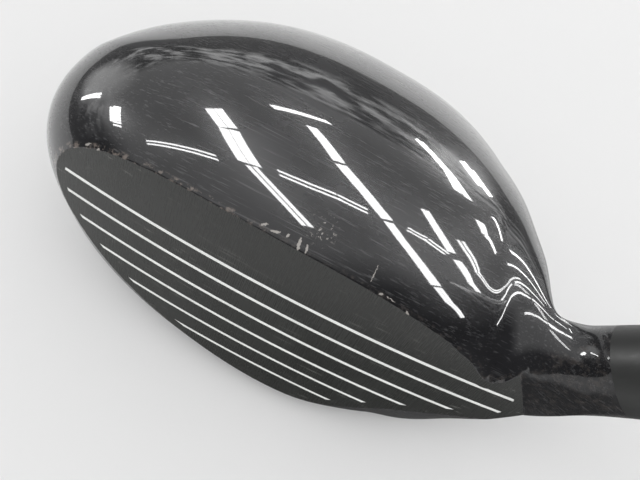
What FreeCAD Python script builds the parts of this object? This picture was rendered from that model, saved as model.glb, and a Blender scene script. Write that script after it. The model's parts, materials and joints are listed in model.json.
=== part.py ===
import FreeCAD, Part
import Sketcher
import math
import os

# A hybrid golf club at address: ground at Z = 0, target along -Y, toe at -X, shaft rising to +X.
# The origin is the point of the sole that rests on the ground, behind the middle of the face.

doc = FreeCAD.newDocument("hybrid_golf_club")
sheet = doc.addObject("Spreadsheet::Sheet", "Sizes")

SIZES = (
    # angles of the club, degrees
    ("loft_angle", 21.0),
    ("lie_angle", 59.5),
    # the face and where the shaft axis passes it
    ("face_mid_height", 21.0),
    ("face_to_keel", 16.0),
    ("bulge_radius", 240.0),
    ("roll_radius", 240.0),
    ("hosel_reach", 38.5),
    ("hosel_progression", 11.9),
    ("club_length", 1003.0),
    # outline of the head; reaches and setbacks are measured from the middle of the face
    ("toe_reach", 52.5),
    ("toe_tip_height", 21.6),
    ("toe_tip_setback", 26.1),
    ("back_reach", 73.9),
    ("nose_reach", 6.4),
    ("nose_height", 16.2),
    ("skirt_height", 18.1),
    ("crown_height", 40.1),
    ("crown_peak_setback", 25.7),
    # walls of the hollow head
    ("crown_wall", 0.8),
    ("skirt_wall", 1.1),
    ("sole_wall", 1.8),
    ("face_wall", 2.2),
    ("face_rim", 3.0),
    ("face_edge_radius", 0.5),
    # crown opening, an ellipse seen from above
    ("crown_opening_length", 66.0),
    ("crown_opening_depth", 46.0),
    ("crown_opening_setback", 36.0),
    # weight that stands on the inside of the sole
    ("weight_diameter", 20.0),
    ("weight_top_height", 10.5),
    ("weight_setback", 52.0),
    # hosel
    ("hosel_diameter", 12.6),
    ("hosel_height", 38.7),
    ("hosel_bore", 9.6),
    ("bore_depth", 32.0),
    # score lines
    ("line_count", 6.0),
    ("line_pitch", 3.8),
    ("line_width", 0.6),
    ("line_depth", 0.35),
    ("line_paint_recess", 0.05),
    ("line_margin", 1.6),
    ("line_tilt", 8.0),
    ("first_line_rise", 7.0),
    # shaft and ferrule
    ("shaft_tip_diameter", 9.4),
    ("shaft_butt_diameter", 15.2),
    ("shaft_tip_bore", 5.6),
    ("shaft_butt_bore", 13.0),
    ("tip_parallel", 75.0),
    ("butt_parallel", 150.0),
    ("tip_plug_length", 12.0),
    ("ferrule_length", 24.0),
    ("ferrule_parallel", 8.0),
    ("ferrule_lip", 0.6),
    # grip
    ("grip_length", 267.0),
    ("grip_mouth_diameter", 17.2),
    ("grip_butt_diameter", 26.4),
    ("grip_flare_length", 14.0),
    ("grip_tape_thickness", 0.25),
    ("ring_depth", 0.5),
    ("ring_width", 1.0),
    ("ring_pitch", 3.0),
    ("ring_count", 4.0),
    ("first_ring_height", 6.0),
    ("cap_diameter", 29.5),
    ("cap_thickness", 3.0),
    ("cap_edge_radius", 1.4),
    ("vent_diameter", 4.4),
)
for row, (alias, value) in enumerate(SIZES, 1):
    sheet.set("A%d" % row, alias)
    sheet.set("B%d" % row, str(value))
    sheet.setAlias("B%d" % row, alias)
doc.recompute()


def size(alias):
    return float(getattr(sheet, alias))


def vec(x, y, z):
    return FreeCAD.Vector(x, y, z)


# ---------------------------------------------------------------- reference points
loft = math.radians(size("loft_angle"))
lie = math.radians(size("lie_angle"))
shaft_dir = vec(math.cos(lie), 0, math.sin(lie))
keel = size("face_to_keel")
face_ref = vec(0, -keel, size("face_mid_height"))
face_normal = vec(0, -math.cos(loft), math.sin(loft))
face_up = vec(0, math.sin(loft), math.cos(loft))
hosel_y = size("hosel_progression") - keel
hosel_r = size("hosel_diameter") / 2
axis_point = vec(size("hosel_reach"), hosel_y, size("face_mid_height"))
ground_point = axis_point - shaft_dir * (axis_point.z / math.sin(lie))
joint_station = size("hosel_height") / math.sin(lie)     # distances up the shaft from the ground
seat_station = joint_station - size("bore_depth")
butt_station = size("club_length") - size("cap_thickness")
mouth_station = butt_station - size("grip_length")
joint = ground_point + shaft_dir * joint_station


def on_shaft(station):
    """Local Z runs up the shaft, from a point that far up from the ground."""
    turn = FreeCAD.Rotation(vec(0, 1, 0), 90 - size("lie_angle"))
    return FreeCAD.Placement(ground_point + shaft_dir * station, turn)


# ---------------------------------------------------------------- head skin
# Section planes stand upright from the toe to the hinge, and then fan out about a line along Y
# above the head until they lie square to the shaft. Each section is four superellipse quarters
# between four rails: nose, ridge, skirt and keel.
CROWN_PEAK_X = -10.7            # where ridge and skirt reach furthest
KEEL_PEAK_X = 21.7              # where keel and nose reach furthest
HINGE_INBOARD = 12.5            # how far the hinge stands on the toe side of the shaft axis
hinge_x = size("hosel_reach") - HINGE_INBOARD
NECK_TURN = math.radians(50)    # the ridge has become the hosel's upper side here
NECK_ARC = 30.0                 # mean distance of the neck from the hinge
SKIRT_RUN = 47.1                # the skirt meets the hosel's back here
NOSE_RUN = (3.6, 53.1)          # the nose draws back to the hosel's front between these
CROWN_DROOP = 0.0016            # how the crown falls, and the keel rises, towards the heel
KEEL_RISE = 0.0006
RAIL_POWER = dict(ridge_y=1.66, ridge_z=2.29, skirt_y=1.86, skirt_z=2.0,
                  nose_y=2.62, nose_z=2.0, keel_y=2.0, keel_z=2.65)
SKIRT_NECK_POWER = 3.64
RIDGE_NECK_POWER = 1.9
NECK_SPAN = dict(keel_z=(2.5, 24.8), skirt_z=(0, 50), nose_z=(0, 62), ridge_y=(0, 57), keel_y=(0, 48))
CORNER_POWER = dict(front_top=2.22, back_top=1.48, back_low=2.3, front_low=4.8)
CORNER_SPAN = dict(back_top=(0, 26), back_low=(0, 26), front_low=(0, 18))
PINCH_POWER = 1.72              # the front top corner sharpens into the neck, then rounds off
PINCH_SPAN = (10, 26)
RELEASE_SPAN = (30, 48)
hinge_to_axis = (joint.x - hinge_x) / math.sin(lie)
hinge_z = joint.z + hinge_to_axis * math.cos(lie)


def toe_fall(x, peak_x, tip_x, power):
    u = min(1.0, max(0.0, (peak_x - x) / (peak_x - tip_x)))
    return (1 - u ** power) ** (1 / power)


def smooth(t):
    t = min(1.0, max(0.0, t))
    return t * t * (3 - 2 * t)


def mix(a, b, t):
    return a + (b - a) * t


def passed(value, span):
    """How far a value has come through a span, eased at both ends."""
    start, end = span
    return smooth((value - start) / (end - start))


def corner_powers(turn):
    """Superellipse powers of a section; all become 2, a circle, at the hosel."""
    degrees = math.degrees(turn)
    power = {corner: mix(CORNER_POWER[corner], 2.0, passed(degrees, span))
             for corner, span in CORNER_SPAN.items()}
    pinched = mix(CORNER_POWER["front_top"], PINCH_POWER, passed(degrees, PINCH_SPAN))
    power["front_top"] = pinched + (2 - PINCH_POWER) * passed(degrees, RELEASE_SPAN)
    return power


def section_rails(x, turn, inset):
    """Rails of one section: y, and z where the plane is upright or minus the hinge distance."""
    top, back, low, front = inset
    tip_x = back - size("toe_reach")
    tip_y = size("toe_tip_setback") - keel
    tip_z = size("toe_tip_height")
    back_y = size("back_reach") - keel - back
    front_y = front - keel - size("nose_reach")
    peak_z = size("crown_height") - top
    run = x if turn == 0 else hinge_x + NECK_ARC * turn

    def fall(name, start, end):
        peak_x = CROWN_PEAK_X if name[:5] in ("ridge", "skirt") else KEEL_PEAK_X
        return mix(start, end, toe_fall(x, peak_x, tip_x, RAIL_POWER[name]))

    rail = dict(
        ridge_y=fall("ridge_y", tip_y, size("crown_peak_setback") - keel),
        ridge_z=fall("ridge_z", tip_z, peak_z) - CROWN_DROOP * max(0.0, x - CROWN_PEAK_X) ** 2,
        skirt_y=fall("skirt_y", tip_y, back_y),
        skirt_z=fall("skirt_z", tip_z, size("skirt_height")),
        nose_y=fall("nose_y", tip_y, front_y),
        nose_z=fall("nose_z", tip_z, size("nose_height")),
        keel_y=fall("keel_y", tip_y, 0.0),
        keel_z=fall("keel_z", tip_z, low) + KEEL_RISE * max(0.0, x - KEEL_PEAK_X) ** 2,
    )
    t = min(1.0, max(0.0, (run - CROWN_PEAK_X) / (SKIRT_RUN - CROWN_PEAK_X)))
    rail["skirt_y"] = mix(rail["skirt_y"], hosel_y + hosel_r - back, t ** SKIRT_NECK_POWER)
    rail["nose_y"] = mix(rail["nose_y"], hosel_y - hosel_r + front, passed(run, NOSE_RUN))
    if turn == 0:
        return rail
    centre = hinge_to_axis / math.cos(lie - turn)
    half = hosel_r / math.cos(lie - turn)
    for name in ("ridge_z", "skirt_z", "keel_z", "nose_z"):
        rail[name] -= hinge_z
    come_round = min(1.0, turn / NECK_TURN) ** RIDGE_NECK_POWER
    rail["ridge_z"] = mix(rail["ridge_z"], half - centre - top, come_round)
    hosel_end = dict(keel_z=low - half - centre, skirt_z=-centre, nose_z=-centre,
                     ridge_y=hosel_y, keel_y=hosel_y)
    for name, end in hosel_end.items():
        rail[name] = mix(rail[name], end, passed(math.degrees(turn), NECK_SPAN[name]))
    return rail


QUADRANT_POINTS = 6


def section_points(x, turn, inset):
    rail = section_rails(x, turn, inset)
    power = corner_powers(turn)
    points = []
    for side, end, corner, from_side in (
        ("nose", "ridge", "front_top", True),
        ("skirt", "ridge", "back_top", False),
        ("skirt", "keel", "back_low", True),
        ("nose", "keel", "front_low", False),
    ):
        side_y, side_z = rail[side + "_y"], rail[side + "_z"]
        end_y, end_z = rail[end + "_y"], rail[end + "_z"]
        n = 2 / power[corner]
        for i in range(QUADRANT_POINTS):
            a = math.pi / 2 * i / QUADRANT_POINTS
            if not from_side:
                a = math.pi / 2 - a
            y = end_y + (side_y - end_y) * abs(math.cos(a)) ** n
            z = side_z + (end_z - side_z) * math.sin(a) ** n
            if turn == 0:
                points.append(vec(x, y, z))
            else:
                points.append(vec(hinge_x - z * math.sin(turn), y, hinge_z + z * math.cos(turn)))
    return points


def closed_spline(points):
    curve = Part.BSplineCurve()
    curve.interpolate(Points=points, PeriodicFlag=True,
                      Parameters=[float(i) for i in range(len(points) + 1)])
    return curve


def skin_through(tip, sections):
    """A closed solid whose side is one smooth spline surface from the tip through every section."""
    rings = [closed_spline(points) for points in sections]
    rows = [[tip] * len(rings[0].getPoles())] + [ring.getPoles() for ring in rings]
    place = [0.0]
    for near, far in zip(rows[:-1], rows[1:]):
        place.append(place[-1] + sum(p.distanceToPoint(q) for p, q in zip(near, far)) / len(near))
    columns = []
    for column in zip(*rows):
        curve = Part.BSplineCurve()
        curve.interpolate(Points=list(column), Parameters=place)
        columns.append(curve)
    along = columns[0]
    surface = Part.BSplineSurface()
    surface.buildFromPolesMultsKnots([c.getPoles() for c in columns],
                                     rings[0].getMultiplicities(), along.getMultiplicities(),
                                     rings[0].getKnots(), along.getKnots(), True, False, 3, 3)
    end = Part.Face(Part.Wire([rings[-1].toShape()]))
    shell = Part.makeShell([surface.toShape(), end])
    shell.sewShape()
    return Part.makeSolid(shell)


TOE_SECTIONS = (84, 76, 66, 54, 40, 22, 0)              # degrees round the toe, 0 at the crown's peak
MIDDLE_SECTIONS = (0.34, 0.64, 0.84, 0.94, 1.0)         # shares of the way from there to the hinge
NECK_SECTIONS = (4, 8, 12, 16, 21, 28, 34, 40, 45, 50, 55)      # degrees of turn past the hinge


def head_skin(inset=(0, 0, 0, 0), last_turn=90):
    """The head's outer form, or one that lies inset by (top, back, low, front).

    The last section of the outer form stands square to the shaft, at the joint with the ferrule.
    """
    tip_x = inset[1] - size("toe_reach")
    tip = vec(tip_x, size("toe_tip_setback") - keel, size("toe_tip_height"))
    toe_half = CROWN_PEAK_X - tip_x
    stations = [CROWN_PEAK_X - toe_half * math.sin(math.radians(a)) for a in TOE_SECTIONS]
    stations += [mix(CROWN_PEAK_X, hinge_x, share) for share in MIDDLE_SECTIONS]
    sections = [section_points(x, 0, inset) for x in stations]
    for turn in NECK_SECTIONS + (size("lie_angle"),):
        if turn <= last_turn:
            sections.append(section_points(hinge_x, math.radians(turn), inset))
    return skin_through(tip, sections)


FACE_HALF_WIDTH = 70.0      # the face tools reach this far past every outline of the face
FACE_HALF_HEIGHT = 40.0
FACE_CLEARANCE = 60.0       # and this far in front of it


def face_band(front, back):
    """The solid between two face surfaces, front and back mm behind the face, with bulge and roll."""
    bulge, roll = size("bulge_radius"), size("roll_radius")
    centre = face_ref - face_normal * roll

    def arc(depth):
        r = roll - depth
        a = FACE_HALF_HEIGHT / roll
        ends = [centre + (face_normal * math.cos(t) + face_up * math.sin(t)) * r for t in (-a, 0, a)]
        return Part.Arc(*ends).toShape(), ends[0], ends[2]

    near, near_low, near_high = arc(front)
    far, far_low, far_high = arc(back)
    outline = Part.Wire(Part.__sortEdges__([near, Part.makeLine(near_high, far_high), far,
                                            Part.makeLine(far_low, near_low)]))
    profile = Part.Face(outline)
    sweep = math.degrees(FACE_HALF_WIDTH / bulge)
    profile.rotate(face_ref - face_normal * bulge, face_up, -sweep)
    return profile.revolve(face_ref - face_normal * bulge, face_up, 2 * sweep)


def face_sag(x, rise):
    """How far bulge and roll take the face back from the plane through its middle."""
    return x ** 2 / (2 * size("bulge_radius")) + rise ** 2 / (2 * size("roll_radius"))


FACE_END_TURN = math.radians(33)    # the face stops at this plane about the hinge
FACE_END_REACH = 26.0               # measured from the hinge to the face along that plane
RUN_OUT = math.radians(28)          # and leaves the metal at this slope
FAR = 400.0                         # a side longer than the whole head


def past_face_end():
    """Everything on the heel side of the slope where the face runs out into the neck."""
    down = vec(math.sin(FACE_END_TURN), 0, -math.cos(FACE_END_TURN))
    x = hinge_x + FACE_END_REACH * down.x
    z = hinge_z + FACE_END_REACH * down.z
    rise = (z - face_ref.z) / math.cos(loft)
    start = face_ref + vec(x, 0, 0) + face_up * rise - face_normal * face_sag(x, rise)
    normal = face_normal + vec(x / size("bulge_radius"), 0, 0)
    normal.normalize()
    along = down - normal * down.dot(normal)
    along.normalize()
    heelward = along.cross(normal)
    if heelward.x < 0:
        heelward = heelward * -1
    ramp = heelward * math.cos(RUN_OUT) + normal * math.sin(RUN_OUT)
    away = ramp.cross(along)
    if away.dot(normal) > 0:
        away = away * -1
    box = Part.makeBox(FAR, FAR, FAR, vec(-FAR / 2, -FAR / 2, 0))
    box.Placement = FreeCAD.Placement(start, FreeCAD.Rotation(along, ramp, away, "ZXY"))
    return box


# ---------------------------------------------------------------- helpers for document objects
OVERCUT = 2.0         # how far a cutting tool reaches past what it cuts
pieces = []


def feature(label, shape):
    """A form that only Part's own functions can make."""
    made = doc.addObject("Part::Feature", label)
    made.Shape = shape
    return made


def boolean(kind, label, base, tool):
    made = doc.addObject("Part::" + kind, label)
    made.Base = base
    made.Tool = tool
    return made


def piece(made, label):
    """One of the club's own pieces; its label names its file."""
    made.Label = label
    pieces.append(made)
    return made


def origin_plane(body, role):
    return [plane for plane in body.Origin.OriginFeatures if plane.Role == role][0]


ROUGH_RADIUS = 10.0     # the unsolved outline is a polygon of this radius


def profile(body, name, corners):
    """A closed outline in the body's XZ plane; corners are (radius, height) sheet formulas."""
    sketch = body.newObject("Sketcher::SketchObject", name)
    sketch.AttachmentSupport = [(origin_plane(body, "XZ_Plane"), "")]
    sketch.MapMode = "FlatFace"
    count = len(corners)
    turns = [2 * math.pi * i / count for i in range(count)]
    start = [vec(3 + math.cos(a), 3 + math.sin(a), 0) * ROUGH_RADIUS for a in turns]
    for i in range(count):
        sketch.addGeometry(Part.LineSegment(start[i], start[(i + 1) % count]), False)
    for i in range(count):
        sketch.addConstraint(Sketcher.Constraint("Coincident", i, 2, (i + 1) % count, 1))
    for i, (radius, height) in enumerate(corners):
        for kind, letter, formula, value in (("DistanceX", "r", radius, start[i].x),
                                             ("DistanceY", "h", height, start[i].y)):
            if formula == "0":
                axis = -2 if letter == "r" else -1
                sketch.addConstraint(Sketcher.Constraint("PointOnObject", i, 1, axis))
                continue
            number = sketch.addConstraint(Sketcher.Constraint(kind, -1, 1, i, 1, value))
            sketch.renameConstraint(number, "%s%d" % (letter, i))
            sketch.setExpression("Constraints.%s%d" % (letter, i), formula)
    return sketch


def turned(label, station, corners):
    """A body turned about the shaft axis, standing at a station on it."""
    body = doc.addObject("PartDesign::Body", label)
    sketch = profile(body, label + "_profile", corners)
    turn = body.newObject("PartDesign::Revolution", label + "_turn")
    turn.Profile = sketch
    turn.ReferenceAxis = (sketch, ["V_Axis"])
    turn.Angle = 360
    sketch.Visibility = False
    body.Placement = on_shaft(station)
    doc.recompute()
    return piece(body, label)


# ---------------------------------------------------------------- head
face_cutter = face_band(-FACE_CLEARANCE, 0).cut(past_face_end())
sharp_form = head_skin().cut(face_cutter)
struck_face = min(sharp_form.Faces, key=lambda f: f.CenterOfMass.distanceToPoint(face_ref))
face_edges = struck_face.OuterWire
outer = feature("outer_form", sharp_form.makeFillet(size("face_edge_radius"), face_edges.Edges))

EDGE_POINTS = 120
OUTLINE_POINTS = 40
FACE_CORNER = 1.5           # rounds the outline where the face runs out at the heel
PRISM_REACH = 20.0          # how far a prism on the face's outline reaches both ways
OPENING_RELIEF = 0.6        # the opening for the insert reaches this far into the hollow
CAVITY_LAST_TURN = 21       # degrees: the head is hollow up to here, and solid round the hosel


def flattened(point):
    """The point moved along the face normal onto the plane through the middle of the face."""
    return point - face_normal * (point - face_ref).dot(face_normal)


def longest_wire(shape):
    return max(shape.Wires, key=lambda wire: wire.Length)


def face_prism(margin, front, back):
    """What lies between two depths behind the face, a margin inside the face's own edge."""
    edge = [flattened(p) for p in face_edges.discretize(Number=EDGE_POINTS)[:-1]]
    outline = longest_wire(Part.makePolygon(edge + edge[:1]).makeOffset2D(-(margin + FACE_CORNER)))
    outline = longest_wire(outline.makeOffset2D(FACE_CORNER))
    outline = closed_spline(outline.discretize(Number=OUTLINE_POINTS + 1)[:-1])
    plan = Part.Face(Part.Wire([outline.toShape()]))
    plan.translate(face_normal * PRISM_REACH)
    return face_band(front, back).common(plan.extrude(face_normal * -2 * PRISM_REACH))


walls = (size("crown_wall"), size("skirt_wall"), size("sole_wall"), size("skirt_wall"))
hollow = head_skin(walls, CAVITY_LAST_TURN).cut(face_band(-FACE_CLEARANCE, size("face_wall")))
hosel_tube = Part.makeCylinder(hosel_r, FAR)
hosel_tube.Placement = on_shaft(seat_station - size("sole_wall"))
cavity = feature("cavity", hollow.cut(hosel_tube))

bore = doc.addObject("Part::Cylinder", "bore")
bore.setExpression("Radius", "Sizes.hosel_bore / 2")
bore.setExpression("Height", "Sizes.bore_depth + %s" % OVERCUT)
bore.Placement = on_shaft(seat_station)

through_face = face_prism(size("face_rim"), -OVERCUT, size("face_wall") + OPENING_RELIEF)
face_opening = feature("face_opening", through_face.cut(hosel_tube))
face_blank = feature("face_blank", face_prism(size("face_rim"), 0, size("face_wall")).cut(hosel_tube))

crown_axes = (size("crown_opening_length") / 2, size("crown_opening_depth") / 2)
crown_centre = vec(CROWN_PEAK_X, size("crown_opening_setback") - keel, 0)
if crown_axes[0] > crown_axes[1]:
    crown_edge = Part.Ellipse(crown_centre, *crown_axes)
else:
    crown_edge = Part.Ellipse(crown_centre, crown_axes[1], crown_axes[0])
    crown_edge.rotateZ(math.pi / 2)
crown_plan = Part.Face(Part.Wire([crown_edge.toShape()]))
crown_plan.translate(vec(0, 0, size("toe_tip_height")))
crown_opening = feature("crown_opening", crown_plan.extrude(vec(0, 0, size("crown_height"))))


def score_lines(front, back):
    """The score lines between two depths behind the face, one solid each."""
    length, deep, width = 2 * FACE_HALF_WIDTH, 4 * size("line_pitch"), size("line_width")
    slabs = []
    for number in range(int(size("line_count"))):
        rise = size("first_line_rise") - number * size("line_pitch")
        slab = Part.makeBox(length, width, 2 * deep, vec(-length / 2, -width / 2, -deep))
        slab.rotate(vec(0, 0, 0), vec(1, 0, 0), 90 - size("loft_angle") - size("line_tilt"))
        slab.translate(face_ref + face_up * rise - face_normal * face_sag(0, rise))
        slabs.append(slab)
    inside = face_prism(size("line_margin"), front, back)
    return [slab.common(inside) for slab in slabs]


grooves = feature("grooves", Part.makeCompound(score_lines(-OVERCUT, size("line_depth"))))
paint = Part.makeCompound(score_lines(size("line_paint_recess"), size("line_depth")))

shell = boolean("Cut", "shell", outer, cavity)
bored = boolean("Cut", "bored", shell, bore)
scored = boolean("Cut", "scored", bored, grooves)
framed = boolean("Cut", "framed", scored, face_opening)
piece(boolean("Cut", "head_body", framed, crown_opening), "head_body")
piece(boolean("Common", "crown_shell", shell, crown_opening), "crown_shell")
piece(boolean("Cut", "face_plate", face_blank, grooves), "face_plate")
piece(feature("score_line_paint", paint), "score_line_paint")

weight_rod = doc.addObject("Part::Cylinder", "weight_rod")
weight_rod.setExpression("Radius", "Sizes.weight_diameter / 2")
weight_rod.setExpression("Height", "Sizes.weight_top_height")
weight_foot = vec(CROWN_PEAK_X, size("weight_setback") - keel, 0)
weight_rod.Placement = FreeCAD.Placement(weight_foot, FreeCAD.Rotation())
piece(boolean("Common", "sole_weight", weight_rod, cavity), "sole_weight")

# ---------------------------------------------------------------- shaft line
SHAFT_LENGTH = ("(Sizes.club_length - Sizes.cap_thickness + Sizes.bore_depth"
                " - Sizes.hosel_height / sin(Sizes.lie_angle))")
TAPER_RUN = "(%s - Sizes.tip_parallel - Sizes.butt_parallel)" % SHAFT_LENGTH
TAPER_UNDER_GRIP = "(Sizes.grip_length - Sizes.butt_parallel)"
TIP_R, BUTT_R = "Sizes.shaft_tip_diameter / 2", "Sizes.shaft_butt_diameter / 2"
MOUTH_R = ("(Sizes.shaft_butt_diameter - (Sizes.shaft_butt_diameter - Sizes.shaft_tip_diameter)"
           " * %s / %s) / 2" % (TAPER_UNDER_GRIP, TAPER_RUN))
TAPE = " + Sizes.grip_tape_thickness"

turned("hosel_bond", seat_station, (
    (TIP_R, "0"),
    ("Sizes.hosel_bore / 2", "0"),
    ("Sizes.hosel_bore / 2", "Sizes.bore_depth"),
    (TIP_R, "Sizes.bore_depth"),
))
turned("shaft", seat_station, (
    ("Sizes.shaft_tip_bore / 2", "0"),
    (TIP_R, "0"),
    (TIP_R, "Sizes.tip_parallel"),
    (BUTT_R, SHAFT_LENGTH + " - Sizes.butt_parallel"),
    (BUTT_R, SHAFT_LENGTH),
    ("Sizes.shaft_butt_bore / 2", SHAFT_LENGTH),
    ("Sizes.shaft_butt_bore / 2", SHAFT_LENGTH + " - Sizes.butt_parallel"),
    ("Sizes.shaft_tip_bore / 2", "Sizes.tip_parallel"),
))
turned("shaft_tip_plug", seat_station, (
    ("0", "0"),
    ("Sizes.shaft_tip_bore / 2", "0"),
    ("Sizes.shaft_tip_bore / 2", "Sizes.tip_plug_length"),
    ("0", "Sizes.tip_plug_length"),
))
turned("ferrule", joint_station, (
    (TIP_R, "0"),
    ("Sizes.hosel_diameter / 2", "0"),
    ("Sizes.hosel_diameter / 2", "Sizes.ferrule_parallel"),
    (TIP_R + " + Sizes.ferrule_lip", "Sizes.ferrule_length"),
    (TIP_R, "Sizes.ferrule_length"),
))
turned("grip_tape", mouth_station, (
    (MOUTH_R, "0"),
    (MOUTH_R + TAPE, "0"),
    (BUTT_R + TAPE, TAPER_UNDER_GRIP),
    (BUTT_R + TAPE, "Sizes.grip_length"),
    (BUTT_R, "Sizes.grip_length"),
    (BUTT_R, TAPER_UNDER_GRIP),
))
grip = turned("grip_sleeve", mouth_station, (
    (MOUTH_R + TAPE, "0"),
    ("Sizes.grip_mouth_diameter / 2", "0"),
    ("Sizes.grip_butt_diameter / 2", "Sizes.grip_length - Sizes.grip_flare_length"),
    ("Sizes.cap_diameter / 2", "Sizes.grip_length"),
    (BUTT_R + TAPE, "Sizes.grip_length"),
    (BUTT_R + TAPE, TAPER_UNDER_GRIP),
))

GRIP_TAPER = ("(Sizes.grip_butt_diameter - Sizes.grip_mouth_diameter) / 2"
              " / (Sizes.grip_length - Sizes.grip_flare_length)")
RING_FLOOR = "Sizes.grip_mouth_diameter / 2 + %s * Sizes.first_ring_height - Sizes.ring_depth" % GRIP_TAPER
ring_profile = profile(grip, "ring_profile", (
    (RING_FLOOR, "Sizes.first_ring_height"),
    ("Sizes.grip_butt_diameter / 2", "Sizes.first_ring_height"),
    ("Sizes.grip_butt_diameter / 2", "Sizes.first_ring_height + Sizes.ring_width"),
    (RING_FLOOR, "Sizes.first_ring_height + Sizes.ring_width"),
))
ring = grip.newObject("PartDesign::Groove", "ring")
ring.Profile = ring_profile
ring.ReferenceAxis = (ring_profile, ["V_Axis"])
ring.Angle = 360
ring_profile.Visibility = False
doc.recompute()
rings = grip.newObject("PartDesign::LinearPattern", "rings")
rings.Originals = [ring]
rings.Direction = (ring_profile, ["V_Axis"])
rings.setExpression("Occurrences", "Sizes.ring_count")
rings.setExpression("Length", "Sizes.ring_pitch * (Sizes.ring_count - 1)")
grip.Tip = rings
doc.recompute()

cap = turned("grip_cap", butt_station, (
    ("Sizes.vent_diameter / 2", "0"),
    ("Sizes.cap_diameter / 2", "0"),
    ("Sizes.cap_diameter / 2", "Sizes.cap_thickness"),
    ("Sizes.vent_diameter / 2", "Sizes.cap_thickness"),
))

SAME = 1e-4         # lengths closer than this are taken as equal


def edge_at(shape, radius, height):
    """The name of the round edge with this radius and height on the body's own axis."""
    for number, edge in enumerate(shape.Edges, 1):
        curve = edge.Curve
        if not isinstance(curve, Part.Circle):
            continue
        if abs(curve.Radius - radius) < SAME and abs(curve.Center.z - height) < SAME:
            return "Edge%d" % number
    raise RuntimeError("no such edge")


cap_disc = cap.Tip
cap_rim = edge_at(cap_disc.Shape, size("cap_diameter") / 2, size("cap_thickness"))
round_off = cap.newObject("PartDesign::Fillet", "cap_round")
round_off.Base = (cap_disc, [cap_rim])
round_off.setExpression("Radius", "Sizes.cap_edge_radius")
cap.Tip = round_off

# ---------------------------------------------------------------- check and write
doc.recompute()
for made in doc.Objects:
    if "Invalid" in made.State or "Error" in made.State:
        raise RuntimeError("%s did not recompute: %s" % (made.Name, made.State))
for made in pieces:
    if made.Shape.isNull() or not made.Shape.isValid() or not made.Shape.Solids:
        raise RuntimeError("%s has no sound solid" % made.Label)

os.makedirs("parts", exist_ok=True)
for made in pieces:
    made.Shape.exportStep("parts/%s.step" % made.Label)
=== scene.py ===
"""Dresses a hybrid golf club with its finishes and grip pattern, and sets a plain stage round it."""

import json
import math

import bmesh
import bpy
import numpy as np
from mathutils import Matrix, Vector
from mathutils.kdtree import KDTree


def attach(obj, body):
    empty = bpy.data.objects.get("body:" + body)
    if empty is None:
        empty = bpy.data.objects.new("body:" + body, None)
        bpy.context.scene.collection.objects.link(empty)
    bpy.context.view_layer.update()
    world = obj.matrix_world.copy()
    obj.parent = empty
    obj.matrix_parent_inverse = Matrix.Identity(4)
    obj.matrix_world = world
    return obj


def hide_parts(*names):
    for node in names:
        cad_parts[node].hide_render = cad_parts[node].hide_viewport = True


bl_info = {
    "name": "Hybrid golf club",
    "version": (1, 0, 0),
    "blender": (4, 5, 0),
    "location": "View3D > Sidebar > Club",
    "description": "Finishes and grip pattern of a hybrid golf club, with a plain stage",
    "category": "Object",
}

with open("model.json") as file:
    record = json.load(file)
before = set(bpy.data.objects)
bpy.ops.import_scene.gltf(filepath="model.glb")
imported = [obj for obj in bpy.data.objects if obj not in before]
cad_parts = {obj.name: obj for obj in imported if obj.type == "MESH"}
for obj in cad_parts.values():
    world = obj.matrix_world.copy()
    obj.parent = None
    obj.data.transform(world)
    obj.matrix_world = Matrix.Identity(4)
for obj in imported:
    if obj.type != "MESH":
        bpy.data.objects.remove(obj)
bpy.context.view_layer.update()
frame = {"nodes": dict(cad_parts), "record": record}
MM = 0.001
BODY = "root"
MOUNTS = {mount["name"]: mount for mount in frame["record"]["mounts"]}
STRIKE_POINT = Vector(MOUNTS["strike_point"]["pos_m"])
FACE_NORMAL = Vector(MOUNTS["strike_point"]["axis"])
BUTT = Vector(MOUNTS["vent_hole"]["pos_m"])
SHAFT_AXIS = Vector(MOUNTS["vent_hole"]["axis"])
FACE_RADIUS = 0.24      # bulge and roll of the face


# --- Materials ---------------------------------------------------------------------------------


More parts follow.
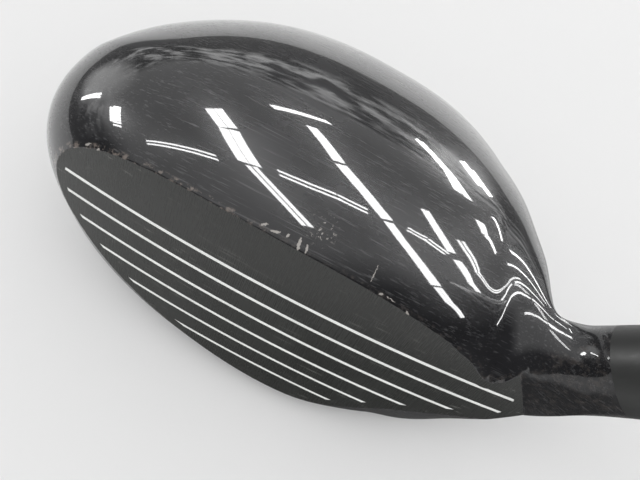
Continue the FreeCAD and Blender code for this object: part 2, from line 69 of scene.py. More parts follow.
class Nodes:
    """Short calls that add and join the nodes of one tree."""

    def __init__(self, tree):
        self.tree = tree

    def add(self, kind, inputs=(), **settings):
        """A node of that kind, its settings made and its inputs joined or filled in order."""
        node = self.tree.nodes.new("ShaderNode" + kind)
        for name, value in settings.items():
            setattr(node, name, value)
        pairs = inputs.items() if isinstance(inputs, dict) else enumerate(inputs)
        for key, value in pairs:
            if isinstance(value, bpy.types.NodeSocket):
                self.tree.links.new(value, node.inputs[key])
            elif value is not None:
                node.inputs[key].default_value = value
        return node

    def math(self, operation, *inputs):
        """A Math node's output."""
        return self.add("Math", inputs, operation=operation).outputs[0]

    def placed(self, point, scale=(1, 1, 1), turn=(0, 0, 0)):
        """A point turned and scaled."""
        return self.add("Mapping", {"Vector": point, "Scale": scale, "Rotation": turn}).outputs[0]

    def noise(self, point, scale, detail=4.0, roughness=0.5):
        """A Noise node's value."""
        inputs = {"Vector": point, "Scale": scale, "Detail": detail, "Roughness": roughness}
        return self.add("TexNoise", inputs).outputs[0]

    def toward(self, way, axis, start, full):
        """1 where the way is close to the axis, falling to 0 round it."""
        near = self.add("VectorMath", (way, Vector(axis).normalized()), operation="DOT_PRODUCT")
        return self.ranged(near.outputs["Value"], start, full, 0.0, 1.0)

    def distance(self, point, place):
        """How far the point is from the place."""
        return self.add("VectorMath", (point, place), operation="DISTANCE").outputs["Value"]

    def ranged(self, value, low, high, start, end):
        """The value spread from low..high to start..end, and held at the ends."""
        return self.add("MapRange", (value, low, high, start, end)).outputs[0]

    def mixed(self, share, first, second):
        """Two colours mixed: none of the second at a share of 0, all of it at 1."""
        node = self.add("Mix", data_type="RGBA")
        for key, value in ((0, share), (6, first), (7, second)):
            if isinstance(value, bpy.types.NodeSocket):
                self.tree.links.new(value, node.inputs[key])
            else:
                node.inputs[key].default_value = value
        return node.outputs[2]

    def blended(self, share, first, second):
        """Two numbers mixed in the same way."""
        return self.add("Mix", (share, None, first, second)).outputs[0]


class Finish(Nodes):
    """A material on its way: a Principled surface, with its sockets set by name."""

    def __init__(self, name, **sockets):
        self.material = bpy.data.materials.new(name)
        self.material.use_nodes = True
        super().__init__(self.material.node_tree)
        self.surface = self.tree.nodes["Principled BSDF"]
        for socket, value in sockets.items():
            self.surface.inputs[socket.replace("_", " ")].default_value = value
        self.object_point = self.tree.nodes.new("ShaderNodeTexCoord").outputs["Object"]

    def set(self, socket, value):
        """Joins value to a socket of the surface."""
        self.tree.links.new(value, self.surface.inputs[socket])

    def bump(self, height, distance, strength=1.0):
        """Lets the height, times the distance in metres, tilt the surface's normal."""
        node = self.add("Bump", {"Height": height, "Distance": distance, "Strength": strength})
        self.set("Normal", node.outputs[0])


def rgba(colour, times=1.0):
    """A colour made lighter or darker, with full alpha."""
    return (*(min(1.0, times * part) for part in colour), 1.0)


DRAWN_OUT = 0.02        # how much coarser noise runs along a scratch than across it


def hairlines(finish, scale, turns, rarity=0.62):
    """Fine random scratches: noise drawn out along a different direction for each turn."""
    total = None
    for turn in turns:
        point = finish.placed(finish.object_point, (scale * DRAWN_OUT, scale, scale), turn)
        line = finish.ranged(finish.noise(point, 1.0, 3.0, 0.6), rarity, rarity + 0.1, 0.0, 1.0)
        total = line if total is None else finish.math("MAXIMUM", total, line)
    return total


def behind_face(finish):
    """How far a point lies behind the struck face, in metres."""
    centre = STRIKE_POINT - FACE_NORMAL * FACE_RADIUS
    return finish.math("SUBTRACT", FACE_RADIUS, finish.distance(finish.object_point, centre))


CHIPS = (
    # the two ends of a chip or scratch in the paint, and its width, all in mm
    ((-2.2, -8.9, 36.3), (-2.0, -8.5, 36.5), 0.17),
    ((0.0, -9.6, 35.9), (-0.4, -8.1, 36.6), 0.29),
    ((1.2, -9.5, 35.9), (1.0, -8.6, 36.4), 0.21),
    ((11.3, -9.3, 35.4), (11.2, -6.2, 36.9), 0.11),
    ((13.2, -9.5, 35.1), (13.6, -9.3, 35.2), 0.17),
    ((14.3, -9.3, 35.1), (15.9, -9.4, 34.8), 0.10),
    ((17.9, -9.5, 34.5), (18.4, -9.9, 33.7), 0.21),
    ((-35.9, -8.4, 32.0), (-34.9, -8.0, 32.5), 0.21),
    ((-33.7, -8.8, 32.3), (-33.0, -8.2, 33.0), 0.21),
    ((-6.2, -9.0, 36.2), (-5.4, -8.6, 36.5), 0.21),
    ((-4.4, -9.1, 36.2), (-3.4, -8.8, 36.4), 0.24),
)
SCUFF, SCUFF_RADIUS = Vector((1.9, -5.8, 37.5)) * MM, 2.9 * MM     # a patch of small specks
RAGGED = 0.5 * MM       # how far the edge of a chip strays


def chips(finish):
    """Where paint is chipped or scratched away: 1 along each line of CHIPS and in specks on SCUFF."""
    wobble = finish.add("TexNoise", {"Vector": finish.object_point, "Scale": 2500.0, "Detail": 2.0})
    drift = finish.add("VectorMath", (wobble.outputs["Color"], (0.5, 0.5, 0.5)), operation="SUBTRACT")
    drift = finish.add("VectorMath", {0: drift.outputs[0], "Scale": RAGGED}, operation="SCALE")
    point = finish.add("VectorMath", (finish.object_point, drift.outputs[0]), operation="ADD")
    specks = finish.ranged(finish.noise(finish.object_point, 2200.0, 3.0, 0.6), 0.6, 0.66, 0.0, 0.8)
    away = finish.distance(finish.object_point, SCUFF)
    fading = finish.ranged(away, SCUFF_RADIUS, SCUFF_RADIUS * 0.4, 0.0, 1.0)
    total = finish.math("MULTIPLY", specks, fading)
    for start, end, width in CHIPS:
        start, end = Vector(start) * MM, Vector(end) * MM
        half = (end - start) / 2
        place = finish.add("Mapping", {"Vector": point.outputs[0]}, vector_type="TEXTURE")
        place.inputs["Location"].default_value = (start + end) / 2
        place.inputs["Rotation"].default_value = half.to_track_quat("X", "Z").to_euler()
        place.inputs["Scale"].default_value = (half.length + width * MM, width * MM, width * MM)
        far = finish.add("VectorMath", (place.outputs[0],), operation="LENGTH").outputs["Value"]
        total = finish.math("MAXIMUM", total, finish.ranged(far, 1.0, 0.8, 0.0, 1.0))
    return total


WORN_BAND = (0.5 * MM, 0.3 * MM)        # paint starts and ends to wear this far behind the face
WORN_TOE = (-2 * MM, -12 * MM)          # and the wear grows between these places towards the toe
WORN_PAINT = (0.16, 0.135, 0.12, 1)
SCRATCHED_PAINT = (0.35, 0.35, 0.36, 1)
BARE_METAL = (0.34, 0.32, 0.3, 1)
SCRATCHED_STEEL = (0.3, 0.3, 0.28, 1)
GRAIN_DEPTH, GRAIN_STRENGTH = 0.006 * MM, 0.6


def head_paint(settings):
    """Black gloss paint, hazed and finely scratched, worn along the edge of the face."""
    finish = Finish("head_paint", Coat_Weight=1.0, Coat_Roughness=0.03, Specular_IOR_Level=0.15)
    turns = ((0.3, 0.2, 0.5), (0.9, 0.1, -0.7), (0.2, 1.1, 1.2), (1.4, 0.6, 0.1))
    scratch = hairlines(finish, 2600.0, turns)
    haze = finish.noise(finish.object_point, 55.0, 5.0, 0.62)
    band = finish.ranged(behind_face(finish), *WORN_BAND, 0.0, 1.0)
    patches = finish.noise(finish.object_point, 900.0, 4.0, 0.7)
    edge = finish.math("MULTIPLY", band, finish.ranged(patches, 0.5, 0.62, 0.0, 1.0))
    across = finish.add("SeparateXYZ", (finish.object_point,)).outputs[0]
    edge = finish.math("MULTIPLY", edge, finish.ranged(across, *WORN_TOE, 0.15, 1.0))
    cloud = finish.ranged(haze, 0.35, 0.75, 0.0, 1.0)
    colour = finish.mixed(cloud, rgba(settings.paint), rgba(settings.paint, 2.2))
    colour = finish.mixed(finish.math("MULTIPLY", scratch, 0.12), colour, SCRATCHED_PAINT)
    colour = finish.mixed(edge, colour, WORN_PAINT)
    marks = chips(finish)
    finish.set("Base Color", finish.mixed(marks, colour, BARE_METAL))
    dull = finish.math("MULTIPLY", scratch, 0.15)
    finish.set("Roughness", finish.math("ADD", finish.ranged(haze, 0.3, 0.75, 0.2, 0.34), dull))
    finish.bump(finish.math("ADD", scratch, marks), GRAIN_DEPTH, GRAIN_STRENGTH)
    return finish.material


def face_steel(settings):
    """Dark plated steel of the insert, brushed up and down the face."""
    finish = Finish("face_steel", IOR=1.55)
    lean = FACE_NORMAL.to_track_quat("Z", "X").to_matrix().inverted().to_euler()
    up = finish.placed(finish.object_point, turn=lean)
    fine = finish.noise(finish.placed(up, (90, 9000, 9000)), 1.0, 4.0, 0.6)
    patch = finish.noise(finish.object_point, 90.0, 4.0, 0.6)
    turns = ((0.2, 0.1, 1.4), (1.5, 0.2, 1.1), (0.3, 1.3, 0.7))
    scratch = hairlines(finish, 2100.0, turns, 0.66)
    fine_share, patch_share = finish.math("MULTIPLY", fine, 0.35), finish.math("MULTIPLY", patch, 0.3)
    blend = finish.math("ADD", fine_share, patch_share)
    share = finish.ranged(blend, 0.2, 0.5, 0, 1)
    colour = finish.mixed(share, rgba(settings.steel, 0.7), rgba(settings.steel, 1.3))
    marked = finish.mixed(finish.math("MULTIPLY", scratch, 0.3), colour, SCRATCHED_STEEL)
    finish.set("Base Color", marked)
    finish.set("Roughness", finish.ranged(blend, 0.2, 0.5, 0.2, 0.38))
    finish.bump(fine, GRAIN_DEPTH, GRAIN_STRENGTH)
    return finish.material


def plain(name, colour, roughness, grain, depth, metallic=0.0):
    """A plain moulded or filled surface with a fine grain of that depth."""
    finish = Finish(name, Metallic=metallic)
    speck = finish.noise(finish.object_point, grain, 5.0, 0.6)
    broad = finish.noise(finish.object_point, grain * 0.05, 3.0, 0.5)
    finish.set("Base Color", finish.mixed(broad, rgba(colour, 0.85), rgba(colour, 1.15)))
    least, most = roughness - 0.06, roughness + 0.06
    finish.set("Roughness", finish.ranged(speck, 0.3, 0.7, least, most))
    finish.bump(speck, depth)
    return finish.material


def dress(node, material):
    """Gives a CAD node its finish."""
    slots = frame["nodes"][node].data.materials
    if len(slots) == 0:
        slots.append(material)
    for index in range(len(slots)):
        slots[index] = material


# --- Smooth skin of the head -------------------------------------------------------------------

MERGE = 1e-6            # corners closer than this are one
NEAR = 44               # neighbours that a fitted normal rests on
THIN = 0.8 * MM         # and their least spacing
NECK_NEAR = 170         # neighbours on the neck: enough to hide the small waves that its skin has
# That wide fit is made past the first of these, blended in from the second and whole from the third.
NECK_START, NECK_BLEND, NECK_WHOLE = 22 * MM, 28 * MM, 34 * MM
ALIKE = 0.6             # least cosine between the normals of neighbours on one side of the skin
FIT_ROUNDS = 3
ON_FACE = 0.02 * MM     # a corner this close to the face's sphere lies on it
FACING = 0.7            # least cosine between a corner's normal and the face's
FLAT_ON_FACE = 0.98     # and between a facet's normal and the face's
EDGE_ROUND = 0.5 * MM   # rounding between face and skin
BENT = 0.03             # 1 less the cosine between two facets of a rounding, at least
SHARP = math.radians(40)


def fitted_normals(points, normals, fixed, count):
    """Normals of the skin that the points lie on, from a curved patch fitted to count neighbours."""
    cells = {tuple(cell): index for index, cell in enumerate(np.round(points / THIN).astype(int))
             if not fixed[index]}
    tree = KDTree(len(cells))
    for index in cells.values():
        tree.insert(points[index], index)
    tree.balance()
    found = [tree.find_n(point, count * 2) for point in points]
    near = np.array([[hit[1] for hit in hits] for hits in found])
    reach = np.array([[hit[2] for hit in hits] for hits in found])
    start = normals
    for _ in range(FIT_ROUNDS):
        alike = np.einsum("ijk,ik->ij", start[near], normals) > ALIKE
        used = alike & (np.cumsum(alike, axis=1) <= count)
        spread = np.max(np.where(used, reach, 0.0), axis=1, keepdims=True) + 1e-9
        weight = np.where(used, np.exp(-3.0 * (reach / spread) ** 2), 0.0)
        across = np.where(np.abs(normals[:, :1]) < 0.7, (1.0, 0.0, 0.0), (0.0, 1.0, 0.0))
        side = np.cross(normals, across)
        side /= np.linalg.norm(side, axis=1, keepdims=True)
        other = np.cross(normals, side)
        away = (points[near] - points[:, None]) / spread[:, :, None]
        u, v, rise = (np.einsum("ijk,ik->ij", away, axis) for axis in (side, other, normals))
        terms = np.stack((np.ones_like(u), u, v, u * u, u * v, v * v), axis=2)
        matrix = np.einsum("ij,ijk,ijl->ikl", weight, terms, terms) + 1e-6 * np.eye(terms.shape[2])
        total = np.einsum("ij,ijk,ij->ik", weight, terms, rise)
        slope = np.linalg.solve(matrix, total[:, :, None])[:, :, 0]
        normals = normals - side * slope[:, 1:2] - other * slope[:, 2:3]
        normals /= np.linalg.norm(normals, axis=1, keepdims=True)
    return np.where(fixed[:, None], start, normals)


def skin_facets(form):
    """Numbers of the facets that join the topmost one without a sharp edge between."""
    top = max(form.faces, key=lambda face: face.calc_center_median().z)
    seen, queue = {top.index}, [top]
    while queue:
        for edge in queue.pop().edges:
            if len(edge.link_faces) == 2 and edge.calc_face_angle() < SHARP:
                for face in edge.link_faces:
                    if face.index not in seen:
                        seen.add(face.index)
                        queue.append(face)
    return seen


def merged(node):
    """A form of a CAD node whose facets share their corners."""
    form = bmesh.new()
    form.from_mesh(frame["nodes"][node].data)
    bmesh.ops.remove_doubles(form, verts=form.verts, dist=MERGE)
    form.normal_update()
    return form


def corner_sums(form, skin):
    """For every corner its place, the sum of the skin's normals round it, and how much they turn."""
    spot = np.array([vert.co for vert in form.verts])
    sums = np.zeros_like(spot)
    turns = np.zeros(len(spot))
    for vert in form.verts:
        own = [face for face in vert.link_faces if face.index in skin]
        for face in own:
            sums[vert.index] += np.array(face.normal) * face.calc_area()
        if len(own) > 1:
            turns[vert.index] = 1.0 - min(own[0].normal.dot(face.normal) for face in own)
    return spot, sums, turns


def from_face_centre(points):
    """Way from the centre of the face's sphere to each point, and how far it lies behind the face."""
    radial = points - np.array(STRIKE_POINT - FACE_NORMAL * FACE_RADIUS)
    far = np.linalg.norm(radial, axis=1)
    radial /= far[:, None]
    return radial, FACE_RADIUS - far


def skin_normals(points, normals, turns, radial, depth):
    """Smooth normals for the corners on the skin: fitted, and true on the face."""
    on_skin = np.linalg.norm(normals, axis=1) > 0
    normals[on_skin] /= np.linalg.norm(normals[on_skin], axis=1, keepdims=True)
    facing = np.einsum("ij,ij->i", normals, radial) > FACING
    struck = on_skin & (np.abs(depth) < ON_FACE) & facing
    if not struck.any():
        raise ValueError("no corner of the head lies on the face")
    rounded = on_skin & ~struck & (depth < 2 * EDGE_ROUND) & (turns > BENT)
    chosen = np.flatnonzero(on_skin & ~struck)
    normals[chosen] = fitted_normals(points[chosen], normals[chosen], rounded[chosen], NEAR)
    chosen = chosen[points[chosen, 0] > NECK_START]
    wide = fitted_normals(points[chosen], normals[chosen], rounded[chosen], NECK_NEAR)
    share = np.clip((points[chosen, :1] - NECK_BLEND) / (NECK_WHOLE - NECK_BLEND), 0, 1)
    wide = normals[chosen] * (1 - share) + wide * share
    normals[chosen] = wide / np.linalg.norm(wide, axis=1, keepdims=True)
    normals[struck] = radial[struck]
    return normals


def smooth_copies(names):
    """Merged copies of head nodes, shaded by the fitted skin and the true face.

    Their second material is for the facets on the face.
    """
    forms = [merged(name) for name in names]
    facets = [skin_facets(form) if name != "face_plate" else set() for name, form in zip(names, forms)]
    known = [corner_sums(form, skin) for form, skin in zip(forms, facets)]
    firsts = np.cumsum([0] + [len(spot) for spot, _, _ in known])
    points, sums, turns = (np.concatenate(part) for part in zip(*known))
    radial, depth = from_face_centre(points)
    normals = skin_normals(points, sums, turns, radial, depth)
    copies = []
    for name, form, skin, first in zip(names, forms, facets, firsts):
        mesh = bpy.data.meshes.new(name + "_finish")
        form.to_mesh(mesh)
        corners = []
        for face in form.faces:
            flat = np.array(face.normal)
            indices = [first + vert.index for vert in face.verts]
            on_face = (all(abs(depth[i]) < ON_FACE for i in indices)
                       and flat.dot(radial[indices[0]]) > FLAT_ON_FACE)
            for i in indices:
                corners.append(radial[i] if on_face else normals[i] if face.index in skin else flat)
            mesh.polygons[face.index].material_index = int(on_face)
        form.free()
        mesh.shade_smooth()
        mesh.normals_split_custom_set([tuple(corner) for corner in corners])
        piece = bpy.data.objects.new(name + "_finish", mesh)
        bpy.context.scene.collection.objects.link(piece)
        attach(piece, BODY)
        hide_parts(name)
        copies.append(piece)
    return copies


# --- What a user would change ------------------------------------------------------------------


class ClubHeadSettings(bpy.types.PropertyGroup):
    """Colours of the head."""

    paint: bpy.props.FloatVectorProperty(
        name="Paint", description="Colour of the gloss paint", subtype="COLOR", default=(0.007, 0.007, 0.008)
    )
    steel: bpy.props.FloatVectorProperty(
        name="Face steel", description="Colour of the plated face", subtype="COLOR",
        default=(0.026, 0.027, 0.025)
    )
    line: bpy.props.FloatVectorProperty(
        name="Line paint", description="Colour of the score lines", subtype="COLOR",
        default=(0.85, 0.86, 0.84)
    )


class ClubStageSettings(bpy.types.PropertyGroup):
    """The floor and the light."""

    floor: bpy.props.FloatVectorProperty(
        name="Floor", description="Colour of the floor", subtype="COLOR", default=(0.8, 0.8, 0.8)
    )
    sky: bpy.props.FloatProperty(name="Sky", description="Strength of the soft light", default=0.85, min=0)
    key: bpy.props.FloatProperty(
        name="Key", description="Power of the broad lamp", default=14, min=0, subtype="POWER", unit="POWER"
    )
    tube: bpy.props.FloatProperty(
        name="Tubes", description="Brightness of the ceiling tubes", default=25, min=0
    )


# --- Operators ---------------------------------------------------------------------------------


class CLUB_OT_finish_head(bpy.types.Operator):
    """Finish the painted head, its steel face, the score lines and the weight inside"""

    bl_idname = "club.finish_head"
    bl_label = "Finish head"

    def execute(self, context):
        settings = context.scene.club_head
        paint, steel = head_paint(settings), face_steel(settings)
        for piece in smooth_copies(("head_body", "crown_shell", "face_plate")):
            own = steel if piece.name.startswith("face_plate") else paint
            for material in (own, steel):
                piece.data.materials.append(material)
        dress("score_line_paint", plain("line_enamel", settings.line, 0.45, 3000, 0.004 * MM))
        dress("sole_weight", plain("weight_alloy", (0.35, 0.35, 0.36), 0.4, 800, 0.01 * MM, 1.0))
        return {"FINISHED"}


class CLUB_OT_finish_shaft(bpy.types.Operator):
    """Finish the ferrule, the shaft and what is inside them"""

    bl_idname = "club.finish_shaft"
    bl_label = "Finish shaft"

    def execute(self, context):
        dress("ferrule", plain("ferrule_plastic", (0.024, 0.025, 0.024), 0.36, 1500, 0.004 * MM))
        dress("shaft", plain("shaft_lacquer", (0.02, 0.02, 0.022), 0.2, 700, 0.001 * MM))
        dress("hosel_bond", plain("cured_epoxy", (0.55, 0.5, 0.4), 0.5, 500, 0.01 * MM))
        dress("shaft_tip_plug", plain("plug_plastic", (0.6, 0.6, 0.55), 0.5, 500, 0.01 * MM))
        return {"FINISHED"}


def along_shaft(node):
    """Distance up the shaft from the butt, and from its axis, of every corner of a node."""
    corners = np.array([vert.co for vert in frame["nodes"][node].data.vertices]) - np.array(BUTT)
    station = corners @ np.array(SHAFT_AXIS)
    return station, np.linalg.norm(corners - station[:, None] * np.array(SHAFT_AXIS), axis=1)


GRIP_SIDES = 48
GRIP_ROWS = 84
AT_END = 0.2 * MM           # corners this close to an end of the sleeve belong to it
MOUTH_STEP, MOUTH_ROUND = 0.4 * MM, 0.6 * MM
RINGS = (6, 9, 12, 15)      # mm up from the mouth
RING_DEPTH, RING_EDGE, RING_WIDTH = 0.45 * MM, 0.2 * MM, 1.0 * MM
FLARE, SWELL, SWELL_UP = 14 * MM, 0.45 * MM, 5 * MM     # length of the flared end, and its rounding
PARALLEL_BORE = 117 * MM    # the bore is parallel this far down from the butt
PADS = (21 * MM, 243 * MM)  # the sunken pads lie between these
PAD_EDGE, PAD_DEPTH = 0.3 * MM, 0.4 * MM
PLAIN_COLUMN, PLAIN_ROW = 8, 21     # every so many columns and rows stay plain
CREASE = math.radians(25)


def put_in_order(form):
    """Sorts the parts of a form by place, because a merged spin leaves them in a new order each run."""
    middles = (
        (form.verts, lambda vert: vert.co),
        (form.edges, lambda edge: (edge.verts[0].co + edge.verts[1].co) / 2),
        (form.faces, lambda face: face.calc_center_median()),
    )
    for parts, middle in middles:
        places = {part: tuple(round(length, 6) for length in middle(part)) for part in parts}
        ranks = {part: rank for rank, part in enumerate(sorted(parts, key=places.get))}
        parts.sort(key=ranks.get)


def grip_form():
    """The rubber sleeve: a turned tube with rings at its mouth and rows of sunken pads."""
    station, radius = along_shaft("grip_sleeve")
    low, length = station.min(), station.max() - station.min()
    mouth, butt = station < low + AT_END, station > low + length - AT_END
    flare = length - FLARE
    wide = radius[(station > low + flare - AT_END / 2) & (station < low + flare + AT_END / 2)].max()
    narrow = radius[mouth].max()

    def skin(height):
        """Radius of the sleeve's outside at a height above its mouth."""
        return narrow + (wide - narrow) * min(height, flare) / flare

    outline = [(radius[mouth].min(), 0.0), (narrow - MOUTH_STEP, 0.0), (skin(0.0) - 0.05 * MM, MOUTH_ROUND)]
    for ring in RINGS:
        base = ring * MM
        floor = skin(base) - RING_DEPTH
        outline += [(skin(base), base), (floor, base + RING_EDGE),
                    (floor, base + RING_WIDTH - RING_EDGE), (skin(base), base + RING_WIDTH)]
    for row in range(GRIP_ROWS + 1):
        height = PADS[0] + (PADS[1] - PADS[0]) * row / GRIP_ROWS
        outline.append((skin(height), height))
    outline += [(wide, flare), (wide + SWELL, flare + SWELL_UP), (radius[butt].max(), length)]
    outline += [(radius[butt].min(), length), (radius[butt].min(), length - PARALLEL_BORE)]
    form = bmesh.new()
    corners = [form.verts.new((x, 0.0, z)) for x, z in outline]
    edges = [form.edges.new(pair) for pair in zip(corners, corners[1:] + corners[:1])]
    bmesh.ops.spin(form, geom=corners + edges, cent=(0, 0, 0), axis=(0, 0, 1), angle=2 * math.pi,
                   steps=GRIP_SIDES, use_merge=True)
    bmesh.ops.remove_doubles(form, verts=form.verts, dist=MERGE)
    put_in_order(form)
    bmesh.ops.recalc_face_normals(form, faces=form.faces)
    pads = []
    for face in form.faces:
        middle = face.calc_center_median()
        if not PADS[0] < middle.z < PADS[1] or middle.xy.length < skin(middle.z) - 0.3 * MM:
            continue
        row = int((middle.z - PADS[0]) / (PADS[1] - PADS[0]) * GRIP_ROWS)
        column = int((math.atan2(middle.y, middle.x) / (2 * math.pi) + 0.5) * GRIP_SIDES)
        if column % PLAIN_COLUMN and (row + column) % 2 and row % PLAIN_ROW:
            pads.append(face)
    if not pads:
        raise ValueError("no facet of the grip is fit for a pad")
    bmesh.ops.inset_individual(form, faces=pads, thickness=PAD_EDGE, depth=-PAD_DEPTH, use_even_offset=True)
    turn = SHAFT_AXIS.to_track_quat("Z", "Y").to_matrix().to_4x4()
    bmesh.ops.transform(form, verts=form.verts, matrix=Matrix.Translation(BUTT + SHAFT_AXIS * low) @ turn)
    mesh = bpy.data.meshes.new("grip_rubber")
    form.to_mesh(mesh)
    form.free()
    mesh.shade_smooth()
    mesh.set_sharp_from_angle(angle=CREASE)
    piece = bpy.data.objects.new("grip_rubber", mesh)
    bpy.context.scene.collection.objects.link(piece)
    return piece


class CLUB_OT_finish_grip(bpy.types.Operator):
    """Finish the grip, its cap and the tape under it"""

    bl_idname = "club.finish_grip"
    bl_label = "Finish grip"

    def execute(self, context):
        rubber = plain("grip_rubber", (0.02, 0.02, 0.02), 0.75, 1200, 0.02 * MM)
        sleeve = grip_form()
        sleeve.data.materials.append(rubber)
        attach(sleeve, BODY)
        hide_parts("grip_sleeve")
        dress("grip_cap", rubber)
        dress("grip_tape", plain("grip_tape", (0.75, 0.72, 0.62), 0.8, 900, 0.01 * MM))
        return {"FINISHED"}


LAMP_HEIGHT = 2.2
FLOOR_SIZE = 40.0
FAR_FLOOR = 0.68        # what the floor looks like far off, so that no horizon shows
# Painted shade: gloss alone sees the floor darkened round this place, so that the front of the neck stays
# dark.
HOSEL_FOOT, PAINTED_SHADE_REACH, PAINTED_SHADE_SHARE = Vector((0.045, -0.015, 0)), (0.12, 0.04), 0.88
# The room that gloss alone sees. Heights are sines of the angle above the floor, and each pair is
# where one part fades into the next. A cone is a pair of cosines round its way.
SHELF_FOOT, SHELF_TOP = (0.14, 0.2), (0.4, 0.46)
FRONT_WALL = (0.42, 0.6)
FRONT_TO_BACK = (-0.3, 0.15)
HORIZON = (-0.01, 0.0)
SHELF_PATTERN, SHELF_LIGHT = (0.45, 0.62), (0.1, 1.9)
FRONT_LIGHT = (0.06, 0.95)      # of the wall before the face, and of the ceiling over it
FOOT_LIGHT, CEILING_LIGHT, FLOOR_LIGHT = 0.12, 0.85, 0.8
DARK_WAY, DARK_CONE, DARK_LIGHT = (0.6, -0.62, 0.5), (0.7, 0.88), 0.06      # before the heel
GLOW_WAY, GLOW_CONE, GLOW_LIGHT = (-0.91, 0.28, 0.3), (0.97, 0.998), 1.9    # beyond the toe
KEY_PLACE, KEY_SIZE = Vector((-0.6, -0.5, 2.4)), 1.6
SENSOR, FOCAL_SHARE = 36.0, 436.242 / 640.0     # focal length as a share of the picture's width
CAMERA_PLACE = (0.002727, -0.039457, 0.089551)
CAMERA_RIGHT = Vector((0.88728, 0.39733, 0.23422))
CAMERA_DOWN = Vector((0.46114, -0.75425, -0.4674))
CAMERA_AHEAD = Vector((-0.00905, 0.52272, -0.85245))
TUBES = (
    # places (x, y) along a run of paired tubes on the ceiling, width of each, spacing of the pair
    (((-1.28, 1.15), (-0.97, 0.83)), 0.12, 0.13),
    (((-0.95, 0.80), (-0.61, 0.25)), 0.12, 0.13),
    (((-0.59, 0.22), (-0.32, -0.06), (-0.01, -0.38)), 0.06, 0.08),
    (((-0.38, 1.97), (0.0, 1.38)), 0.06, 0.065),
    (((0.02, 1.34), (0.29, 1.04), (0.53, 0.75)), 0.06, 0.065),
    (((0.55, 0.71), (0.69, 0.51), (0.89, 0.26), (1.09, 0.01), (1.33, -0.27)), 0.05, 0.055),
    (((1.36, -0.30), (1.67, -0.61), (2.27, -0.97)), 0.04, 0.045),
    (((-2.18, -0.62), (-1.40, -0.26), (-0.92, -0.03)), 0.035, 0.08),
    (((-0.37, 0.42), (-0.13, 0.52), (0.11, 0.64), (0.36, 0.69)), 0.035, 0.08),
    (((0.72, 0.79), (0.91, 0.79), (1.13, 0.69)), 0.03, 0.07),
    (((-0.82, 1.99), (-0.58, 2.33), (-0.30, 2.69)), 0.05, 0.06),
    (((1.21, 7.86), (1.56, 7.00), (1.70, 5.64), (1.48, 3.43)), 0.12, 0.16),
    (((0.81, 1.43), (0.98, 1.11), (1.16, 0.79)), 0.04, 0.05),
    (((1.24, 0.66), (1.53, 0.22), (2.29, -0.17), (2.54, -0.42)), 0.04, 0.05),
    (((1.20, 1.19), (1.34, 0.95), (1.52, 0.61), (2.09, 0.35)), 0.03, 0.06),
    (((1.45, 2.15), (1.50, 1.77), (1.95, 1.57)), 0.05, 0.06),
    (((2.0, 3.33), (2.5, 2.5)), 0.08, 0.1),
    (((3.9, 12.3), (4.1, 9.8)), 0.4, 0.5),
    (((-3.75, 0.16), (-3.59, -0.43)), 0.25, 0.27),
    (((-3.74, -0.54), (-3.20, -0.47)), 0.06, 0.12),
    (((-13.1, 0.9), (-5.6, 0.7)), 0.15, 0.2),
)


def strip_lamp(start, end, width, radiance):
    """A fluorescent tube on the ceiling, seen only in the gloss of what it lights."""
    data = bpy.data.lights.new("tube", "AREA")
    data.shape = "RECTANGLE"
    data.size = (end - start).length
    data.size_y = width
    data.energy = radiance * math.pi * data.size * data.size_y
    lamp = bpy.data.objects.new("tube", data)
    bpy.context.scene.collection.objects.link(lamp)
    middle = (start + end) / 2
    along = (end - start).normalized()
    down = -middle.normalized()
    down = (down - down.dot(along) * along).normalized()
    turn = Matrix((along, -down.cross(along), -down)).transposed().to_4x4()
    lamp.matrix_world = Matrix.Translation(middle) @ turn
    lamp.visible_diffuse = False
    lamp.visible_camera = False


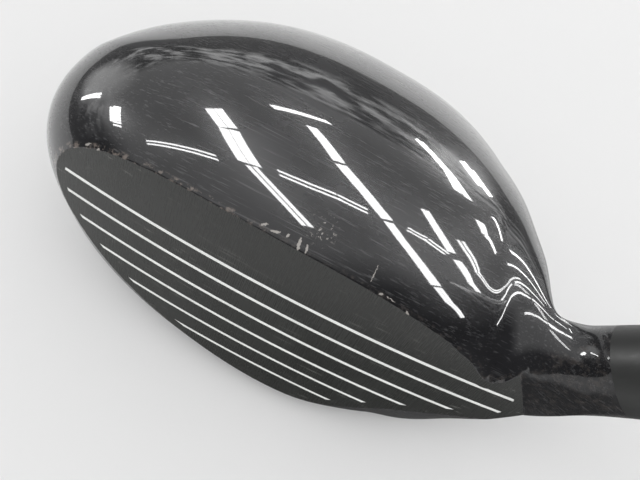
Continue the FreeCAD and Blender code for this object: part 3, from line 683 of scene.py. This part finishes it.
class CLUB_OT_set_stage(bpy.types.Operator):
    """Lay the floor and set the lamps and the camera"""

    bl_idname = "club.set_stage"
    bl_label = "Set stage"

    def execute(self, context):
        settings = context.scene.club_stage
        self.lay_floor(settings)
        for run, width, gap in TUBES:
            for near, far in zip(run[:-1], run[1:]):
                start, end = Vector((*near, LAMP_HEIGHT)), Vector((*far, LAMP_HEIGHT))
                aside = (end - start).cross(Vector((0, 0, 1))).normalized() * gap / 2
                for side in (-aside, aside):
                    strip_lamp(start + side, end + side, width, settings.tube)
        self.sky(settings)
        self.key(settings)
        self.camera(context.scene)
        context.scene.view_settings.view_transform = "Standard"
        return {"FINISHED"}

    def lay_floor(self, settings):
        """A wide pale floor, with a painted shade beside the neck that gloss alone sees."""
        mesh = bpy.data.meshes.new("floor")
        form = bmesh.new()
        bmesh.ops.create_grid(form, x_segments=1, y_segments=1, size=FLOOR_SIZE)
        form.to_mesh(mesh)
        form.free()
        floor = bpy.data.objects.new("floor", mesh)
        bpy.context.scene.collection.objects.link(floor)
        finish = Finish("floor", Roughness=0.9)
        foot = finish.distance(finish.object_point, HOSEL_FOOT)
        glossy = finish.add("LightPath").outputs["Is Glossy Ray"]
        # painted shade: the floor's colour goes dark near the hosel foot, for glossy rays only
        shade = finish.math("MULTIPLY", finish.ranged(foot, *PAINTED_SHADE_REACH, 0.0, PAINTED_SHADE_SHARE), glossy)
        finish.set("Base Color", finish.mixed(shade, rgba(settings.floor), (0, 0, 0, 1)))
        mesh.materials.append(finish.material)

    def camera(self, scene):
        """A camera close above the face, looking down on face and crown."""
        data = bpy.data.cameras.new("camera")
        data.sensor_width = SENSOR
        data.lens = SENSOR * FOCAL_SHARE
        data.clip_start = 0.002
        data.clip_end = 50.0
        camera = bpy.data.objects.new("camera", data)
        scene.collection.objects.link(camera)
        turn = Matrix((CAMERA_RIGHT, -CAMERA_DOWN, -CAMERA_AHEAD)).transposed().to_4x4()
        camera.matrix_world = Matrix.Translation(CAMERA_PLACE) @ turn
        scene.camera = camera

    def sky(self, settings):
        """Even white light, in place of which gloss sees a room: shelves, a dark wall and a ceiling."""
        world = bpy.data.worlds.new("sky")
        bpy.context.scene.world = world
        world.use_nodes = True
        sky = Nodes(world.node_tree)
        background = world.node_tree.nodes["Background"]
        background.inputs["Color"].default_value = (1, 1, 1, 1)
        way = sky.add("TexCoord").outputs["Generated"]
        axes = sky.add("SeparateXYZ", (way,)).outputs

        def rising(axis, span):
            """0 below the span of that axis and 1 above it."""
            return sky.ranged(axes[axis], *span, 0.0, 1.0)

        shelves = sky.noise(sky.placed(way, (9, 9, 26)), 1.0, 3.0, 0.6)
        shelves = sky.ranged(shelves, *SHELF_PATTERN, *SHELF_LIGHT)
        shelves = sky.blended(rising(2, SHELF_FOOT), FOOT_LIGHT, shelves)
        behind = sky.blended(rising(2, SHELF_TOP), shelves, CEILING_LIGHT)
        before = sky.ranged(axes[2], *FRONT_WALL, *FRONT_LIGHT)
        room = sky.blended(rising(1, FRONT_TO_BACK), before, behind)
        room = sky.blended(sky.toward(way, DARK_WAY, *DARK_CONE), room, DARK_LIGHT)
        room = sky.blended(sky.toward(way, GLOW_WAY, *GLOW_CONE), room, GLOW_LIGHT)
        room = sky.blended(rising(2, HORIZON), FLOOR_LIGHT, room)
        rays = sky.add("LightPath").outputs
        even = sky.blended(rays["Is Camera Ray"], settings.sky, FAR_FLOOR)
        strength = sky.blended(rays["Is Glossy Ray"], even, room)
        sky.tree.links.new(strength, background.inputs["Strength"])

    def key(self, settings):
        """One broad lamp that gives the floor its soft shadow and no streak in the gloss."""
        data = bpy.data.lights.new("key", "AREA")
        data.shape = "DISK"
        data.size = KEY_SIZE
        data.energy = settings.key
        lamp = bpy.data.objects.new("key", data)
        bpy.context.scene.collection.objects.link(lamp)
        turn = KEY_PLACE.to_track_quat("Z", "Y").to_matrix().to_4x4()
        lamp.matrix_world = Matrix.Translation(KEY_PLACE) @ turn
        lamp.visible_glossy = False
        lamp.visible_camera = False


class CLUB_PT_panel(bpy.types.Panel):
    """Lists the settings and the steps"""

    bl_label = "Hybrid golf club"
    bl_idname = "CLUB_PT_panel"
    bl_space_type = "VIEW_3D"
    bl_region_type = "UI"
    bl_category = "Club"

    def draw(self, context):
        layout = self.layout
        for group, names in ((context.scene.club_head, ("paint", "steel", "line")),
                             (context.scene.club_stage, ("floor", "sky", "key", "tube"))):
            for name in names:
                layout.prop(group, name)
        for operator in OPERATORS:
            layout.operator(operator.bl_idname)


OPERATORS = (CLUB_OT_finish_head, CLUB_OT_finish_shaft, CLUB_OT_finish_grip, CLUB_OT_set_stage)
CLASSES = (ClubHeadSettings, ClubStageSettings, *OPERATORS, CLUB_PT_panel)


def register():
    """Makes the settings, steps and panel known."""
    for item in CLASSES:
        bpy.utils.register_class(item)
    bpy.types.Scene.club_head = bpy.props.PointerProperty(type=ClubHeadSettings)
    bpy.types.Scene.club_stage = bpy.props.PointerProperty(type=ClubStageSettings)


def unregister():
    """Takes them away again."""
    del bpy.types.Scene.club_head
    del bpy.types.Scene.club_stage
    for item in reversed(CLASSES):
        bpy.utils.unregister_class(item)


def main():
    """Runs every step in order."""
    register()
    for operator in OPERATORS:
        getattr(bpy.ops.club, operator.bl_idname.split(".")[1])()


if __name__ == "__main__":
    main()
